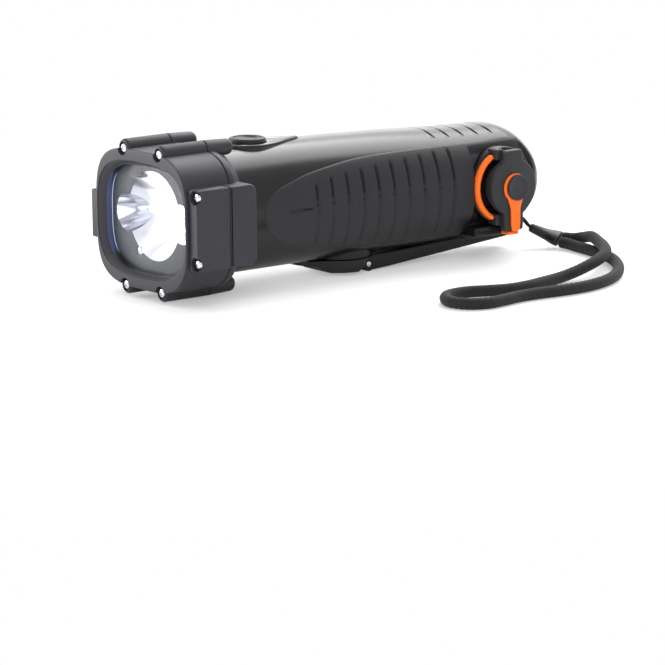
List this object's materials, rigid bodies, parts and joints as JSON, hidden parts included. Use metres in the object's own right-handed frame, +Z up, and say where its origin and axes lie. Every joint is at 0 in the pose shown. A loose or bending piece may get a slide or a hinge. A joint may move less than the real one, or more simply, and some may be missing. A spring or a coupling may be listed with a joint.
{
  "type": "hand crank flashlight",
  "caption": "Rugged hand torch with a boxy screwed head, a folding crank underneath, a covered charging port and a braided wrist strap.",
  "frame": {"origin": "on the ground under the middle of the torch, lying as in use with its switch on top", "axes": "+Y runs from the lens to the rear, +X points to the side with the charging port, +Z is up"},
  "size_m": [0.1354, 0.1969, 0.0608],
  "materials": {
    "head_plastic": "fine satin moulded plastic",
    "barrel_plastic": "satin gloss moulded plastic",
    "grip_rubber": "matte soft-touch rubber",
    "soft_rubber": "matte rubber",
    "cover_rubber": "smooth rubber",
    "orange_rubber": "satin elastomer",
    "gloss_black": "polished plastic",
    "crank_plastic": "satin moulded plastic",
    "clear_lens": "clear polycarbonate with a faint blue edge",
    "reflector_chrome": "vacuum-metallised mirror",
    "bright_screw": "bright plated steel",
    "led_dome": "clear epoxy dome, lit cold white",
    "circuit_board": "green solder mask",
    "bare_aluminium": "as machined",
    "plain_steel": "plain",
    "bush_brass": "turned",
    "white_nylon": "moulded nylon",
    "cell_wrap": "shrink wrap",
    "braided_cord": "braided polyester"
  },
  "bodies": {
    "root": {"front_bezel": "head_plastic", "head_collar": "head_plastic", "lens_seal": "soft_rubber", "lens_window": "clear_lens", "lamp_cover": "gloss_black", "reflector": "reflector_chrome", "reflector_screw": "bright_screw", "led_board": "circuit_board", "led_centre": "led_dome", "led_left": "led_dome", "led_right": "led_dome", "heat_sink": "bare_aluminium", "tube_screw_top_right": "bright_screw", "tube_screw_top_left": "bright_screw", "tube_screw_bottom_right": "bright_screw", "tube_screw_bottom_left": "bright_screw", "side_screw_right_upper": "bright_screw", "side_screw_right_lower": "bright_screw", "main_barrel": "barrel_plastic", "grip_panel_right": "grip_rubber", "grip_panel_left": "grip_rubber", "switch_plate": "gloss_black", "tact_switch": "white_nylon", "main_board": "circuit_board", "chassis_plate": "crank_plastic", "battery_cell": "cell_wrap", "battery_holder": "crank_plastic", "port_housing": "crank_plastic", "usb_a_socket": "plain_steel", "usb_c_socket": "plain_steel", "port_gasket": "orange_rubber", "tether_foot": "orange_rubber", "crank_base": "crank_plastic", "shaft_bush": "bush_brass", "idler_pin": "plain_steel", "generator_can": "plain_steel", "lanyard_pin": "plain_steel", "strap_string": "braided_cord", "strap_sleeve": "soft_rubber", "strap_cord": "braided_cord"},
    "crank": {"crank_hub": "crank_plastic", "hub_screw": "plain_steel", "crank_shaft": "plain_steel", "crank_gear": "white_nylon"},
    "arm": {"crank_arm": "crank_plastic", "hinge_pin": "bright_screw", "knob_pin": "plain_steel"},
    "arm_knob": {"crank_knob": "crank_plastic"},
    "idler": {"idler_gear": "white_nylon"},
    "rotor": {"generator_rotor": "bare_aluminium"},
    "cover": {"port_cover": "cover_rubber", "cover_knob": "cover_rubber", "cover_tether": "orange_rubber"},
    "button": {"switch_button": "soft_rubber"}
  },
  "joints": [
    {"name": "crank_spin", "type": "hinge", "parent": "root", "child": "crank", "pos_m": [0, 0.0035, 0.006], "axis": [0, 0, 1], "range_deg": [0, 150]},
    {"name": "crank_fold", "type": "hinge", "parent": "crank", "child": "arm", "pos_m": [0, 0.012, 0.0028], "axis": [-1, 0, 0], "range_deg": [0, 150]},
    {"name": "knob_spin", "type": "hinge", "parent": "arm", "child": "arm_knob", "pos_m": [0, 0.0815, 0.012], "axis": [0, 0, 1], "continuous": true},
    {"name": "idler_spin", "type": "hinge", "parent": "root", "child": "idler", "pos_m": [0, -0.0155, 0.018], "axis": [0, 0, 1], "continuous": true},
    {"name": "rotor_spin", "type": "hinge", "parent": "root", "child": "rotor", "pos_m": [0, -0.0325, 0.018], "axis": [0, 0, 1], "continuous": true},
    {"name": "cover_swing", "type": "hinge", "parent": "root", "child": "cover", "pos_m": [0.0285, 0.0684, 0.0117], "axis": [0, 1, 0], "range_deg": [0, 100]},
    {"name": "button_press", "type": "slide", "parent": "root", "child": "button", "axis": [0, 0, -1], "range_m": [0, 0.0011], "stiffness_N_per_m": 600, "springref_m": -0.003}
  ],
  "couplings": [
    {"joint": "idler_spin", "follows": "crank_spin", "ratio": -2.8},
    {"joint": "rotor_spin", "follows": "crank_spin", "ratio": 6.72}
  ]
}
